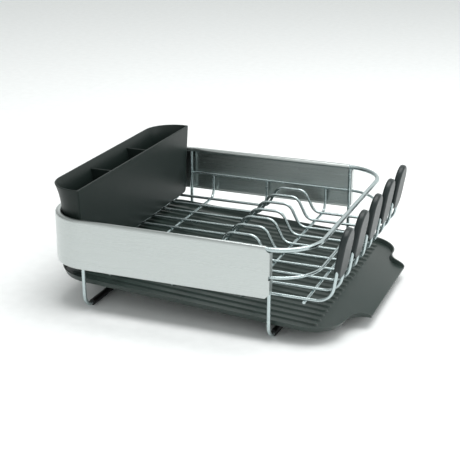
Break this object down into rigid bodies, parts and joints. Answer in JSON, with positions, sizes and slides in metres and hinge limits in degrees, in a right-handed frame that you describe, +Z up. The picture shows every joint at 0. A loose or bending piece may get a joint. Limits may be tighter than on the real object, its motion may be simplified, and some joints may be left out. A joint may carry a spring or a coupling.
{
  "type": "dish drying rack",
  "caption": "Wire dish drying rack with a brushed steel band, a lift-out utensil caddy, cup prongs with plastic grips and a pull-out drain tray with a spout.",
  "frame": {"origin": "middle of the footprint on the counter", "axes": "+X from the caddy end to the tray's spout, +Y from the front of the rack to its back, +Z up"},
  "size_m": [0.412, 0.3626, 0.161],
  "materials": {
    "band_steel": "horizontal brushed stainless sheet",
    "wire_steel": "satin silver wire",
    "grip_plastic": "satin charcoal moulded plastic",
    "sleeve_rubber": "smooth black tube",
    "caddy_plastic": "satin charcoal moulded plastic",
    "tray_plastic": "satin dark grey moulded plastic"
  },
  "bodies": {
    "rack": {"steel_band": "band_steel", "top_rim_wire": "wire_steel", "mid_rail_wire": "wire_steel", "long_wire_pair_1": "wire_steel", "long_wire_pair_2": "wire_steel", "long_wire_pair_3": "wire_steel", "long_wire_pair_4": "wire_steel", "long_wire_pair_5": "wire_steel", "cross_wire_1": "wire_steel", "cross_wire_2": "wire_steel", "cross_wire_3": "wire_steel", "cross_wire_4": "wire_steel", "cross_wire_5": "wire_steel", "leg_frame_caddy_end": "wire_steel", "leg_frame_prong_end": "wire_steel", "foot_sleeve_caddy_end": "sleeve_rubber", "foot_sleeve_prong_end": "sleeve_rubber", "cup_grip_1": "grip_plastic", "cup_grip_2": "grip_plastic", "cup_grip_3": "grip_plastic", "cup_grip_4": "grip_plastic", "cup_grip_5": "grip_plastic"},
    "utensil_caddy": {"utensil_caddy": "caddy_plastic"},
    "drain_tray": {"drain_tray": "tray_plastic"}
  },
  "joints": [
    {"name": "caddy_lift", "type": "slide", "parent": "rack", "child": "utensil_caddy", "axis": [0, 0, 1], "range_m": [0, 0.18]},
    {"name": "tray_pull", "type": "slide", "parent": "rack", "child": "drain_tray", "axis": [1, 0, 0], "range_m": [0, 0.42]}
  ]
}
